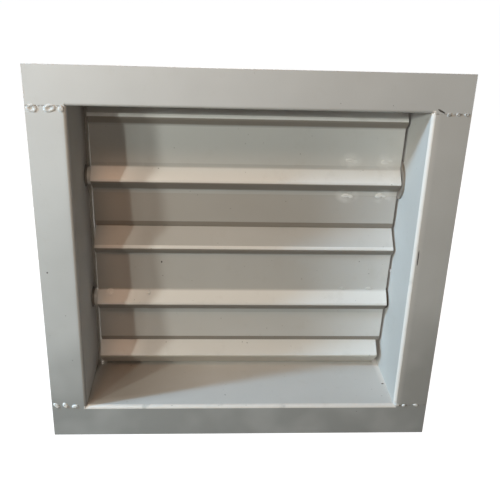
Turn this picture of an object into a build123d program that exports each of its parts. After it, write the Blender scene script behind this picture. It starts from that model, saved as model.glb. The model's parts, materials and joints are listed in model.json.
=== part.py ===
from build123d import *
import os
from math import acos, cos, hypot, pi, radians, sin, tan

os.makedirs("parts", exist_ok=True)

# Motorized damper: a folded casing, two blades that turn together, a side linkage and a drive.
# Millimetres: x right, y back along the airway, z up.
# The origin is the centre of the front opening, in the plane of the front flange.

# Casing
frame_width = 400.0  # across the front flange
frame_height = 390.0
flange_width = 36.0
casing_depth = 170.0
rear_lip = 6.0
casing_sheet = 1.6
casing_bend = 1.6  # inside radius of the folds

# Blades
axis_setback = 80.0  # shaft axes behind the front face
axis_drop = 17.0  # shaft axis below the middle of its blade
closed_lean = 3.7  # degrees, top of the closed blade forward
blade_sheet = 1.5
blade_bend = 2.0  # inside radius of the folds
left_gap = 7.0  # blade end to casing wall
right_gap = 3.0
panel_offset = 5.0  # front face of the panel ahead of the shaft axis
centre_rib_depth = 13.5
centre_rib_half = 13.0
centre_rib_rise = 1.0  # ridge of the centre rib above the shaft axis
edge_rib_depth = 9.0
edge_rib_drop = 10.0
slope_angle = 40.0  # degrees, sealing slope against the blade's own depth
slope_tail = 9.3  # end of the sealing slope behind the shaft axis
lip_drop = 6.1
lip_back = 2.0
edge_gap = 0.55  # lower lip to the sealing slope below it
tip_gap = 2.0  # top blade to the casing

# Stops
stop_rise = 36.0  # upper edge of the bottom stop above the casing floor
stop_leg = 22.7  # sealing leg of the bottom stop
stop_foot = 14.0
stop_end_gap = 6.0  # end of the stops to the casing wall
top_stop_setback = 72.0
top_stop_foot = 14.0
top_stop_gap = 0.6
seal_sheet = 0.6
seal_setback = 82.0  # free edge of the side seal behind the front face
seal_run = 10.0
seal_foot = 14.0
seal_bend = 2.0
seal_clearance = 1.2  # free edge to the ends of the blades and stops
seal_end_gap = 0.5
seal_bush_gap = 0.6

# Shafts and bearings
shaft_diameter = 12.0
shaft_grip = 58.0  # length of shaft held behind the blade
saddle_sheet = 2.0
saddle_half = 27.0
saddle_inset = 2.0
seat_clearance = 0.05
running_clearance = 0.05
sleeve_diameter = 16.0
sleeve_clearance = 0.1
sleeve_stand = 3.0  # bush beyond the outside of the casing wall
bush_collar = 18.5
drive_collar = 40.0
end_float = 1.0  # blade end to bush collar
collar_diameter = 24.0
collar_length = 9.0
collar_float = 0.5  # bush to shaft collar or crank
shaft_stub = 3.0  # shaft beyond its collar or crank
grub_diameter = 5.0

# Linkage on the left side
crank_radius = 40.0
crank_angle = 45.0  # degrees above the horizontal, pointing back, with the blades closed
crank_sheet = 4.0
crank_hub = 24.0
crank_hub_length = 14.0
crank_eye = 18.0
pin_diameter = 6.0
pin_head = 10.0
pin_head_thickness = 1.2
link_width = 16.0
link_sheet = 3.0
link_float = 0.5
open_pivot_clearance = 0.3
clip_diameter = 11.0
clip_sheet = 0.8
clip_groove = 4.6
clip_mouth = 4.0
pin_tail = 1.6

# Drive on the right side
drive_gap = 5.4  # casing wall to the back of the drive
drive_width = 64.0
drive_height = 110.0
drive_head = 30.0  # shaft axis below the top of the drive
drive_corner = 9.0
base_depth = 16.0
cover_depth = 23.0
drive_wall = 2.5
cover_round = 3.0
boss_diameter = 8.0
boss_inset = 7.5
screw_diameter = 3.2
screw_head = 6.0
screw_head_height = 2.5
screw_grip = 10.0
hub_diameter = 26.0
hub_clearance = 0.5
hub_stand = 4.0
jaw_thickness = 9.0
jaw_width = 30.0
jaw_depth = 15.0
jaw_offset = 3.5  # top of the jaw below the shaft axis
bolt_diameter = 5.0
bolt_tail = 3.0
nut_width = 8.0
nut_height = 4.0
shaft_end = 2.5  # drive shaft beyond the jaw
pointer_thickness = 2.2
pointer_reach = 27.0
pointer_rim = 32.0
pointer_gap = 0.8
button_diameter = 10.0
button_travel = 3.0
button_proud = 1.0  # above the cover when pressed
button_collar = 14.0
button_collar_height = 1.5
button_clearance = 0.3
button_side = 16.0
button_height = 18.0  # button above the bottom of the drive
gland_diameter = 14.0
gland_length = 12.0
gland_bore = 7.0
lug_width = 22.0
lug_drop = 8.0
lug_depth = 6.0
strap_sheet = 1.5
strap_width = 24.0
strap_room = 8.0  # end of the strap to the lower shaft's collar
strap_bend = 1.5
tongue_width = 8.0
tongue_clearance = 0.3
strap_screw = 4.0
strap_screw_head = 8.0
strap_screw_pitch = 11.0
strap_screw_tail = 0.6  # screw past the inside of the casing wall

# Motor and gears inside the drive
output_teeth = 44
pinion_teeth = 12
second_teeth = 32
output_module = 1.0
second_module = 0.8
pressure_angle = 25.0
addendum = 0.9  # of the module
dedendum = 1.2
backlash = 0.3
flank_steps = 3
second_angle = -105.0  # degrees from straight back, hub to second gear
motor_angle = -80.0  # second gear to motor
gear_gap = 1.5  # drive base to the output gear
output_face = 6.0
second_face = 5.0
second_gap = 2.0  # output gear to the larger second gear
gear_float = 0.3
gear_boss = 8.0
arbor_diameter = 4.0
plate_gap = 2.0  # second gear to the gear plate
plate_sheet = 1.5
plate_edge = 5.0  # edge of the gear plate about its screws
post_diameter = 7.0
post_places = ((-21.0, -46.0), (17.0, -26.0), (12.0, -56.0))  # from the output shaft
plate_screw = 2.5
plate_screw_head = 5.0
plate_screw_grip = 7.0
motor_diameter = 22.0
motor_length = 13.5
motor_nose = 9.0
motor_bearing = 1.5
motor_shaft = 3.0
motor_shaft_depth = 9.0

# Places that follow from the sizes above
half_width = frame_width / 2 - flange_width
half_height = frame_height / 2 - flange_width
wall_out = half_width + casing_sheet
casing_round = casing_bend + casing_sheet
blade_pitch = (2 * half_height - tip_gap - stop_rise) / 2
tip_rise = blade_pitch / 2 + axis_drop
upper_axis = half_height - tip_gap - tip_rise
lower_axis = upper_axis - blade_pitch
axes = {"upper": upper_axis, "lower": lower_axis}
blade_left = -half_width + left_gap
blade_right = half_width - right_gap
shaft_radius = shaft_diameter / 2
lean = radians(closed_lean)
slope = radians(slope_angle)
pressure = radians(pressure_angle)


# A folded sheet in section: one face of the sheet as a line, thickened to one side
def folded_section(points, radii, thickness, side):
    with BuildSketch() as section:
        with BuildLine():
            FilletPolyline(*points, radius=radii)
            offset(amount=thickness, side=side)
        make_face()
    return section.sketch


# A plane across the airway at one shaft axis, seen from the right: local x back, local y up
def axis_plane(x, axis, turn=0.0):
    back = (0, cos(turn), sin(turn))
    return Plane(origin=(x, axis_setback, axis), x_dir=back, z_dir=(1, 0, 0))


# A plane across the drive at any place, with local x turned from straight back
def gear_plane(x, place, turn=0.0):
    back = (0, cos(turn), sin(turn))
    return Plane(origin=(x, *place), x_dir=back, z_dir=(1, 0, 0))


# One tooth along local x, its involute flanks in short straight runs
def tooth_section(teeth, module):
    pitch_radius = teeth * module / 2
    base_radius = pitch_radius * cos(pressure)
    tip_radius = pitch_radius + addendum * module
    root_radius = pitch_radius - dedendum * module
    foot_radius = max(base_radius, root_radius)
    half_tooth = (pi * module - backlash) / (4 * pitch_radius)
    flank = []
    for step in range(flank_steps + 1):
        radius = foot_radius + (tip_radius - foot_radius) * step / flank_steps
        roll = acos(base_radius / radius)
        angle = half_tooth + (tan(pressure) - pressure) - (tan(roll) - roll)
        flank.append((radius * cos(angle), radius * sin(angle)))
    inner = (root_radius - module / 2) / foot_radius
    flank.insert(0, (flank[0][0] * inner, flank[0][1] * inner))
    other = [(x, -y) for x, y in flank]
    with BuildSketch() as tooth:
        with BuildLine():
            Polyline(*other, *reversed(flank), close=True)
        make_face()
    return tooth.sketch


def gear_section(teeth, module):
    with BuildSketch() as gear:
        Circle(teeth * module / 2 - dedendum * module)
        with PolarLocations(0, teeth):
            add(tooth_section(teeth, module))
    return gear.sketch


def save(piece, name):
    piece.part.label = name
    export_step(piece.part, f"parts/{name}.step")


# Top and bottom channels of the casing, with flat flange corners beyond the side walls
corner_width = frame_width / 2 - wall_out
corner_x = wall_out + corner_width / 2
for name, way, side in (("frame_top", 1, Side.LEFT), ("frame_bottom", -1, Side.RIGHT)):
    with BuildPart() as channel:
        with BuildSketch(Plane.YZ):
            channel_line = (
                (0, way * frame_height / 2),
                (0, way * half_height),
                (casing_depth, way * half_height),
                (casing_depth, way * (half_height + rear_lip)),
            )
            add(folded_section(channel_line, casing_round, casing_sheet, side))
        extrude(amount=wall_out, both=True)
        with BuildSketch(Plane.XZ):
            with Locations((0, way * (half_height + flange_width / 2))):
                with GridLocations(2 * corner_x, 0, 2, 1):
                    Rectangle(corner_width, flange_width)
        extrude(amount=-casing_sheet)
    save(channel, name)

# Strap screws on the right wall, below the drive
drive_top = upper_axis + drive_head
drive_bottom = drive_top - drive_height
strap_top = drive_bottom - lug_drop + strap_sheet + tongue_clearance
strap_bottom = lower_axis + collar_diameter / 2 + strap_room
strap_middle = (0, (strap_top + strap_bottom) / 2)

# Side channels of the casing, between the top and the bottom
sleeve_hole = sleeve_diameter / 2 + sleeve_clearance
for name, way, side in (("frame_left", -1, Side.LEFT), ("frame_right", 1, Side.RIGHT)):
    with BuildPart() as channel:
        with BuildSketch(Plane.XY.offset(-half_height)):
            channel_line = (
                (way * frame_width / 2, 0),
                (way * half_width, 0),
                (way * half_width, casing_depth),
                (way * (half_width + rear_lip), casing_depth),
            )
            add(folded_section(channel_line, casing_round, casing_sheet, side))
        extrude(amount=2 * half_height)
        with BuildSketch(axis_plane(way * half_width, 0)):
            with Locations((0, upper_axis), (0, lower_axis)):
                Circle(sleeve_hole)
            if name == "frame_right":
                with Locations(strap_middle):
                    with GridLocations(strap_screw_pitch, 0, 2, 1):
                        Circle(strap_screw / 2 + sleeve_clearance)
        extrude(amount=casing_sheet, both=True, mode=Mode.SUBTRACT)
    save(channel, name)

# Blade section about its shaft axis: local x back, local y up along the blade
tip_u = slope_tail
tip_v = (tip_rise - tip_u * sin(lean)) / cos(lean)
ridge_u = -panel_offset - edge_rib_depth
ridge_v = tip_v - (tip_u - ridge_u) * tan(slope)

# The lower lip stops just short of the sealing slope of the blade below
below_u = ridge_u - blade_pitch * sin(lean)
below_v = ridge_v - blade_pitch * cos(lean)
lip_length = hypot(lip_back, lip_drop)
lip_u = lip_back - panel_offset
lip_corner_u = lip_u + blade_sheet * lip_drop / lip_length
lip_corner_v = below_v + (lip_corner_u - below_u) * tan(slope) + edge_gap / cos(slope)
lip_v = lip_corner_v - blade_sheet * lip_back / lip_length

blade_line = (
    (lip_u, lip_v),
    (-panel_offset, lip_v + lip_drop),
    (-panel_offset, centre_rib_rise - centre_rib_half),
    (-panel_offset - centre_rib_depth, centre_rib_rise),
    (-panel_offset, centre_rib_rise + centre_rib_half),
    (-panel_offset, ridge_v - edge_rib_drop),
    (ridge_u, ridge_v),
    (tip_u, tip_v),
)
outer_bend = blade_bend + blade_sheet
blade_bends = (outer_bend, blade_bend, outer_bend, blade_bend, blade_bend, outer_bend)
blade_section = folded_section(blade_line, blade_bends, blade_sheet, Side.RIGHT)

for row, axis in axes.items():
    with BuildPart() as blade:
        with BuildSketch(axis_plane(blade_left, axis, lean)):
            add(blade_section)
        extrude(amount=blade_right - blade_left)
    save(blade, f"{row}_blade")

# The sealing slope in the casing's frame, as a height above the shaft axis that carries it
tip_back = tip_u * cos(lean) - tip_v * sin(lean)
world_slope = slope + lean


def slope_height(y):
    return tip_rise + (y - axis_setback - tip_back) * tan(world_slope)


# Bottom stop: the same sealing slope as a blade below would have, on a leg from the casing floor
stop_tip_y = axis_setback + tip_back
stop_tip_z = stop_rise - half_height
stop_ridge_y = stop_tip_y - stop_leg * cos(world_slope)
stop_ridge_z = stop_tip_z - stop_leg * sin(world_slope)
stop_heel_y = stop_ridge_y + stop_ridge_z + half_height
stop_line = (
    (stop_tip_y, stop_tip_z),
    (stop_ridge_y, stop_ridge_z),
    (stop_heel_y, -half_height),
    (stop_heel_y + stop_foot, -half_height),
)
stop_bends = (casing_round, casing_bend)
stop_half = half_width - stop_end_gap
with BuildPart() as bottom_stop:
    with BuildSketch(Plane.YZ):
        add(folded_section(stop_line, stop_bends, casing_sheet, Side.LEFT))
    extrude(amount=stop_half, both=True)
save(bottom_stop, "bottom_stop")

# Top stop: an angle under the casing top whose edge meets the upper blade's sealing slope
top_stop_back = top_stop_setback + casing_sheet
top_stop_edge = upper_axis + slope_height(top_stop_back) + top_stop_gap / cos(world_slope)
top_stop_line = (
    (top_stop_back, top_stop_edge),
    (top_stop_back, half_height),
    (top_stop_back - top_stop_foot, half_height),
)
with BuildPart() as top_stop:
    with BuildSketch(Plane.YZ):
        add(folded_section(top_stop_line, casing_round, casing_sheet, Side.LEFT))
    extrude(amount=stop_half, both=True)
save(top_stop, "top_stop")

# Side seal: a thin spring leaf on the left wall, bent towards the blade ends, notched at the bushes
seal_reach = min(left_gap, stop_end_gap) - seal_clearance
seal_line = (
    (seal_reach - half_width, seal_setback),
    (-half_width, seal_setback + seal_run),
    (-half_width, seal_setback + seal_run + seal_foot),
)
seal_half = half_height - seal_end_gap
with BuildPart() as left_side_seal:
    with BuildSketch(Plane.XY.offset(-seal_half)):
        add(folded_section(seal_line, seal_bend, seal_sheet, Side.RIGHT))
    extrude(amount=2 * seal_half)
    with BuildSketch(axis_plane(-half_width, 0)):
        with Locations((0, upper_axis), (0, lower_axis)):
            Circle(bush_collar / 2 + seal_bush_gap)
    extrude(amount=left_gap, mode=Mode.SUBTRACT)
save(left_side_seal, "left_side_seal")

# Saddles: hat sections behind the blade ends that hold the shafts
panel_back = blade_sheet - panel_offset
saddle_seat = shaft_radius + seat_clearance
with BuildSketch() as saddle_section:
    with BuildLine():
        Polyline((panel_back, -saddle_half), (panel_back, -saddle_seat), (0, -saddle_seat))
        ThreePointArc((0, -saddle_seat), (saddle_seat, 0), (0, saddle_seat))
        Polyline((0, saddle_seat), (panel_back, saddle_seat), (panel_back, saddle_half))
        offset(amount=saddle_sheet, side=Side.RIGHT)
    make_face()

left_grip = blade_left + saddle_inset
right_grip = blade_right - saddle_inset - shaft_grip
for row, axis in axes.items():
    for end, start in (("left", left_grip), ("right", right_grip)):
        with BuildPart() as saddle:
            with BuildSketch(axis_plane(start, axis, lean)):
                add(saddle_section.sketch)
            extrude(amount=shaft_grip)
        save(saddle, f"{row}_{end}_saddle")

# Bushes: a collar inside the casing wall and a sleeve through it
bush_outside = wall_out + sleeve_stand
bush_bore = shaft_radius + running_clearance
bushes = {
    "upper_left_bush": (-1, upper_axis, bush_collar, left_gap - end_float),
    "lower_left_bush": (-1, lower_axis, bush_collar, left_gap - end_float),
    "lower_right_bush": (1, lower_axis, bush_collar, right_gap - end_float),
    "drive_bearing": (1, upper_axis, drive_collar, right_gap - end_float),
}
for name, (way, axis, collar, thickness) in bushes.items():
    with BuildPart() as bush:
        with BuildSketch(axis_plane(way * half_width, axis)):
            Circle(collar / 2)
        extrude(amount=-way * thickness)
        with BuildSketch(axis_plane(way * half_width, axis)):
            Circle(sleeve_diameter / 2)
        extrude(amount=way * (casing_sheet + sleeve_stand))
        with BuildSketch(axis_plane(way * bush_outside, axis)):
            Circle(bush_bore)
        extrude(amount=-way * (bush_outside + thickness), mode=Mode.SUBTRACT)
    save(bush, name)

# Shafts: short round bars from the saddles out through the bushes
collar_start = bush_outside + collar_float
crank_end = collar_start + crank_hub_length
collar_end = collar_start + collar_length
drive_face = wall_out + drive_gap + base_depth + cover_depth
jaw_start = drive_face + hub_stand
jaw_end = jaw_start + jaw_thickness
shafts = {
    "drive_shaft": (right_grip, jaw_end + shaft_end, upper_axis),
    "lower_right_shaft": (right_grip, collar_end + shaft_stub, lower_axis),
    "upper_left_shaft": (-crank_end - shaft_stub, left_grip + shaft_grip, upper_axis),
    "lower_left_shaft": (-crank_end - shaft_stub, left_grip + shaft_grip, lower_axis),
}
shaft_chamfer = shaft_diameter / 12
for name, (start, end, axis) in shafts.items():
    with BuildPart() as shaft:
        with BuildSketch(axis_plane(start, axis)):
            Circle(shaft_radius)
        extrude(amount=end - start)
        chamfer(shaft.edges().filter_by(GeomType.CIRCLE), length=shaft_chamfer)
    save(shaft, name)

# Collar that keeps the lower right shaft in its bush, with its grub screw
with BuildPart() as shaft_collar:
    with BuildSketch(axis_plane(collar_start, lower_axis)):
        Circle(collar_diameter / 2)
        Circle(shaft_radius + seat_clearance, mode=Mode.SUBTRACT)
    extrude(amount=collar_length)
    chamfer(shaft_collar.edges().filter_by(GeomType.CIRCLE).group_by(SortBy.RADIUS)[-1], length=0.8)
    with BuildSketch(Plane.XY.offset(lower_axis)):
        with Locations((collar_start + collar_length / 2, axis_setback)):
            Circle(grub_diameter / 2 + seat_clearance)
    extrude(amount=collar_diameter, mode=Mode.SUBTRACT)
save(shaft_collar, "shaft_collar")

grub_start = shaft_radius + seat_clearance
with BuildPart() as collar_grub:
    with BuildSketch(Plane.XY.offset(lower_axis + grub_start)):
        with Locations((collar_start + collar_length / 2, axis_setback)):
            Circle(grub_diameter / 2)
    extrude(amount=collar_diameter / 2 - grub_start)
    with BuildSketch(Plane.XY.offset(lower_axis + collar_diameter / 2)):
        with Locations((collar_start + collar_length / 2, axis_setback)):
            RegularPolygon(grub_diameter / 4, 6)
    extrude(amount=-grub_diameter / 2, mode=Mode.SUBTRACT)
save(collar_grub, "collar_grub_screw")

# Cranks on the left shafts: an arm next to the wall and a hub outside it
crank_turn = radians(crank_angle)
arm_inside = -collar_start
arm_outside = arm_inside - crank_sheet
hub_outside = -crank_end
grub_x = (arm_outside + hub_outside) / 2
pin_radius = pin_diameter / 2
pin_start = arm_inside + pin_head_thickness
link_outside = arm_outside - link_float - link_sheet
clip_inside = link_outside - link_float
pin_end = clip_inside - clip_sheet - pin_tail
crank_chamfer = crank_sheet / 8
for row, axis in axes.items():
    # Seen along the crank's own arm: local x along the arm
    with BuildPart() as crank:
        with BuildSketch(axis_plane(arm_inside, axis, crank_turn)):
            Circle(crank_hub / 2)
            with Locations((crank_radius, 0)):
                Circle(crank_eye / 2)
            make_hull()
        extrude(amount=-crank_sheet)
        with BuildSketch(axis_plane(arm_outside, axis)):
            Circle(crank_hub / 2)
        extrude(amount=hub_outside - arm_outside)
        chamfer(crank.faces().sort_by(Axis.X)[0].edges(), length=crank_chamfer)
        with BuildSketch(axis_plane(arm_inside, axis, crank_turn)):
            Circle(shaft_radius + seat_clearance)
            with Locations((crank_radius, 0)):
                Circle(pin_radius + seat_clearance)
        extrude(amount=hub_outside - arm_inside, mode=Mode.SUBTRACT)
        grub_plane = Plane(
            origin=(grub_x, axis_setback, axis),
            x_dir=(1, 0, 0),
            z_dir=(0, -cos(crank_turn), -sin(crank_turn)),
        )
        with BuildSketch(grub_plane):
            Circle(grub_diameter / 2 + seat_clearance)
        extrude(amount=crank_hub, mode=Mode.SUBTRACT)
    save(crank, f"{row}_crank")

    with BuildPart() as grub:
        with BuildSketch(grub_plane.offset(grub_start)):
            Circle(grub_diameter / 2)
        extrude(amount=crank_hub / 2 - grub_start)
        with BuildSketch(grub_plane.offset(crank_hub / 2)):
            RegularPolygon(grub_diameter / 4, 6)
        extrude(amount=-grub_diameter / 2, mode=Mode.SUBTRACT)
    save(grub, f"{row}_grub_screw")

    # Crank pin: a head behind the arm, a shank through the link and a groove for its clip
    pin_plane_x = (crank_radius, 0)
    with BuildPart() as pin:
        with BuildSketch(axis_plane(pin_start, axis, crank_turn)):
            with Locations(pin_plane_x):
                Circle(pin_head / 2)
        extrude(amount=-pin_head_thickness)
        with BuildSketch(axis_plane(arm_inside, axis, crank_turn)):
            with Locations(pin_plane_x):
                Circle(pin_radius)
        extrude(amount=pin_end - arm_inside)
        with BuildSketch(axis_plane(clip_inside, axis, crank_turn)):
            with Locations(pin_plane_x):
                Circle(pin_diameter)
                Circle(clip_groove / 2, mode=Mode.SUBTRACT)
        extrude(amount=-clip_sheet, mode=Mode.SUBTRACT)
    save(pin, f"{row}_crank_pin")

    with BuildPart() as clip:
        with BuildSketch(axis_plane(clip_inside, axis, crank_turn)):
            with Locations(pin_plane_x):
                Circle(clip_diameter / 2)
                Circle(clip_groove / 2 + seat_clearance, mode=Mode.SUBTRACT)
            with Locations((crank_radius + clip_diameter / 2, 0)):
                Rectangle(clip_diameter, clip_mouth, mode=Mode.SUBTRACT)
        extrude(amount=-clip_sheet)
    save(clip, f"{row}_pin_clip")

# Link bar between the two crank pins
crank_back = crank_radius * cos(crank_turn)
crank_up = crank_radius * sin(crank_turn)
with BuildPart() as link_bar:
    with BuildSketch(axis_plane(arm_outside - link_float, 0)):
        with Locations((crank_back, (upper_axis + lower_axis) / 2 + crank_up)):
            SlotCenterToCenter(blade_pitch, link_width, rotation=90)
        with Locations((crank_back, upper_axis + crank_up)):
            Circle(pin_radius + running_clearance, mode=Mode.SUBTRACT)
        with Locations((crank_back, lower_axis + crank_up)):
            Circle(pin_radius + open_pivot_clearance, mode=Mode.SUBTRACT)
    extrude(amount=-link_sheet)
save(link_bar, "link_bar")

# Drive housing: a base next to the wall and a cover, parted across the shaft
base_back = wall_out + drive_gap
base_face = base_back + base_depth
drive_middle = (drive_top + drive_bottom) / 2
boss_places = (drive_width - 2 * boss_inset, drive_height - 2 * boss_inset)
hub_hole = hub_diameter / 2 + hub_clearance
lug_middle = (0, drive_bottom - lug_drop / 2)

# Gear train: each gear has a tooth, or its pinion a gap, on the line between the two centres
second_turn = radians(second_angle)
motor_turn = radians(motor_angle)
half_pitch = pi / pinion_teeth
second_reach = (output_teeth + pinion_teeth) * output_module / 2
motor_reach = (second_teeth + pinion_teeth) * second_module / 2
output_place = (axis_setback, upper_axis)
second_place = (
    axis_setback + second_reach * cos(second_turn),
    upper_axis + second_reach * sin(second_turn),
)
motor_place = (
    second_place[0] + motor_reach * cos(motor_turn),
    second_place[1] + motor_reach * sin(motor_turn),
)
post_spots = [(axis_setback + back, upper_axis + up) for back, up in post_places]
base_floor = base_back + drive_wall
output_start = base_floor + gear_gap
output_end = output_start + output_face
second_start = output_end + second_gap
second_end = second_start + second_face
plate_start = second_end + plate_gap
plate_end = plate_start + plate_sheet
arbor_start = base_back + drive_wall / 4

with BuildPart() as actuator_base:
    with BuildSketch(axis_plane(base_back, 0)):
        with Locations((0, drive_middle)):
            RectangleRounded(drive_width, drive_height, drive_corner)
    extrude(amount=base_depth)
    chamfer(actuator_base.faces().sort_by(Axis.X)[0].edges(), length=drive_wall / 2)
    offset(amount=-drive_wall, openings=actuator_base.faces().sort_by(Axis.X)[-1])
    with BuildSketch(axis_plane(base_back + drive_wall, drive_middle)):
        with GridLocations(*boss_places, 2, 2):
            Circle(boss_diameter / 2)
    extrude(amount=base_depth - drive_wall)
    for spot in post_spots:
        with BuildSketch(gear_plane(base_floor, spot)):
            Circle(post_diameter / 2)
        extrude(amount=plate_start - base_floor)
        with BuildSketch(gear_plane(plate_start, spot)):
            Circle(plate_screw / 2 + seat_clearance)
        extrude(amount=-plate_screw_grip, mode=Mode.SUBTRACT)
    with BuildSketch(gear_plane(base_floor, second_place)):
        Circle(gear_boss / 2)
    extrude(amount=gear_gap - gear_float)
    with BuildSketch(gear_plane(arbor_start, second_place)):
        Circle(arbor_diameter / 2 + seat_clearance)
    extrude(amount=output_start - arbor_start, mode=Mode.SUBTRACT)
    with BuildSketch(axis_plane(base_back, 0)):
        with Locations(lug_middle):
            Rectangle(lug_width, lug_drop)
    extrude(amount=lug_depth)
    with BuildSketch(axis_plane(base_back, 0)):
        with Locations(lug_middle):
            Rectangle(tongue_width + 2 * tongue_clearance, lug_drop)
    extrude(amount=lug_depth, mode=Mode.SUBTRACT)
    with BuildSketch(axis_plane(base_back, upper_axis)):
        Circle(hub_hole)
    extrude(amount=drive_wall, mode=Mode.SUBTRACT)
    with BuildSketch(axis_plane(base_face, drive_middle)):
        with GridLocations(*boss_places, 2, 2):
            Circle(screw_diameter / 2 + seat_clearance)
    extrude(amount=-screw_grip, mode=Mode.SUBTRACT)
save(actuator_base, "actuator_base")

button_place = (button_side, drive_bottom + button_height)
button_hole = button_diameter / 2 + button_clearance
gland_x = base_face + cover_depth / 2
with BuildPart() as actuator_cover:
    with BuildSketch(axis_plane(base_face, 0)):
        with Locations((0, drive_middle)):
            RectangleRounded(drive_width, drive_height, drive_corner)
    extrude(amount=cover_depth)
    fillet(actuator_cover.faces().sort_by(Axis.X)[-1].edges(), radius=cover_round)
    offset(amount=-drive_wall, openings=actuator_cover.faces().sort_by(Axis.X)[0])
    with BuildSketch(axis_plane(base_face, drive_middle)):
        with GridLocations(*boss_places, 2, 2):
            Circle(boss_diameter / 2)
    extrude(amount=cover_depth - drive_wall)
    with BuildSketch(axis_plane(drive_face, 0)):
        with Locations((0, upper_axis)):
            Circle(hub_hole)
        with Locations(button_place):
            Circle(button_hole)
    extrude(amount=-drive_wall, mode=Mode.SUBTRACT)
    with BuildSketch(axis_plane(drive_face, drive_middle)):
        with GridLocations(*boss_places, 2, 2):
            Circle(screw_head / 2 + tongue_clearance)
    extrude(amount=-screw_head_height, mode=Mode.SUBTRACT)
    with BuildSketch(axis_plane(base_face, drive_middle)):
        with GridLocations(*boss_places, 2, 2):
            Circle(screw_diameter / 2 + seat_clearance)
    extrude(amount=cover_depth, mode=Mode.SUBTRACT)
    with BuildSketch(Plane.XY.offset(drive_bottom)):
        with Locations((gland_x, axis_setback)):
            Circle(gland_bore / 2)
    extrude(amount=drive_wall, mode=Mode.SUBTRACT)
save(actuator_cover, "actuator_cover")

with BuildPart() as cover_screws:
    with BuildSketch(axis_plane(drive_face - screw_head_height, drive_middle)):
        with GridLocations(*boss_places, 2, 2):
            Circle(screw_head / 2)
    extrude(amount=screw_head_height)
    with BuildSketch(axis_plane(base_face - screw_grip, drive_middle)):
        with GridLocations(*boss_places, 2, 2):
            Circle(screw_diameter / 2)
    extrude(amount=screw_grip + cover_depth - screw_head_height)
    with BuildSketch(axis_plane(drive_face, drive_middle)):
        with GridLocations(*boss_places, 2, 2):
            RegularPolygon(screw_diameter / 2, 6)
    extrude(amount=-screw_head_height / 2, mode=Mode.SUBTRACT)
save(cover_screws, "cover_screws")

# Cable inlet: a short gland under the cover
with BuildPart() as cable_gland:
    with BuildSketch(Plane.XY.offset(drive_bottom)):
        with Locations((gland_x, axis_setback)):
            RegularPolygon(gland_diameter / 2, 6)
    extrude(amount=-gland_length / 3)
    with BuildSketch(Plane.XY.offset(drive_bottom - gland_length / 3)):
        with Locations((gland_x, axis_setback)):
            Circle(gland_diameter * 0.4)
    extrude(amount=-gland_length * 2 / 3, taper=6)
    with BuildSketch(Plane.XY.offset(drive_bottom)):
        with Locations((gland_x, axis_setback)):
            Circle(gland_bore / 2)
    extrude(amount=-gland_length, mode=Mode.SUBTRACT)
save(cable_gland, "cable_gland")

# Output hub: a tube through the housing with a jaw outside that takes the clamp bolt
hub_back = base_back
bolt_radius = bolt_diameter / 2
bolt_bend = shaft_radius + seat_clearance + bolt_radius
bolt_x = jaw_start + jaw_thickness / 2
jaw_top = -jaw_offset
jaw_bottom = jaw_top - jaw_depth
with BuildPart() as output_hub:
    with BuildSketch(axis_plane(hub_back, upper_axis)):
        Circle(hub_diameter / 2)
    extrude(amount=jaw_start - hub_back)
    with BuildSketch(axis_plane(jaw_start, upper_axis)):
        with Locations((0, (jaw_top + jaw_bottom) / 2)):
            RectangleRounded(jaw_width, jaw_depth, bolt_radius)
    extrude(amount=jaw_thickness)
    with BuildSketch(axis_plane(hub_back, upper_axis)):
        Circle(shaft_radius + seat_clearance)
    extrude(amount=jaw_end - hub_back, mode=Mode.SUBTRACT)
    with BuildSketch(Plane.XY.offset(upper_axis + jaw_top)):
        with Locations((bolt_x, axis_setback - bolt_bend), (bolt_x, axis_setback + bolt_bend)):
            Circle(bolt_radius + seat_clearance)
    extrude(amount=-jaw_depth, mode=Mode.SUBTRACT)
save(output_hub, "output_hub")

bolt_end = jaw_bottom - nut_height - bolt_tail
with BuildPart() as clamp_bolt:
    with BuildLine(axis_plane(bolt_x, upper_axis)) as bolt_path:
        Line((-bolt_bend, bolt_end), (-bolt_bend, 0))
        ThreePointArc((-bolt_bend, 0), (0, bolt_bend), (bolt_bend, 0))
        Line((bolt_bend, 0), (bolt_bend, bolt_end))
    with BuildSketch(Plane.XY.offset(upper_axis + bolt_end)):
        with Locations((bolt_x, axis_setback - bolt_bend)):
            Circle(bolt_radius)
    sweep(path=bolt_path.wire())
save(clamp_bolt, "clamp_bolt")

with BuildPart() as clamp_nuts:
    with BuildSketch(Plane.XY.offset(upper_axis + jaw_bottom)):
        with Locations((bolt_x, axis_setback - bolt_bend), (bolt_x, axis_setback + bolt_bend)):
            RegularPolygon(nut_width / 2, 6, major_radius=False)
            Circle(bolt_radius + seat_clearance, mode=Mode.SUBTRACT)
    extrude(amount=-nut_height)
save(clamp_nuts, "clamp_nuts")

# Position pointer: a ring on the hub with one finger
with BuildPart() as position_pointer:
    with BuildSketch(axis_plane(drive_face + pointer_gap, upper_axis)):
        Circle(pointer_rim / 2)
        with Locations((0, pointer_reach)):
            Circle(pointer_thickness / 2)
        make_hull()
        Circle(hub_diameter / 2 + seat_clearance, mode=Mode.SUBTRACT)
    extrude(amount=pointer_thickness)
save(position_pointer, "position_pointer")

# Output gear, on the hub inside the housing
with BuildPart() as output_gear:
    with BuildSketch(gear_plane(output_start, output_place, second_turn)):
        add(gear_section(output_teeth, output_module))
        Circle(hub_diameter / 2 + seat_clearance, mode=Mode.SUBTRACT)
    extrude(amount=output_face)
save(output_gear, "output_gear")

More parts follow.
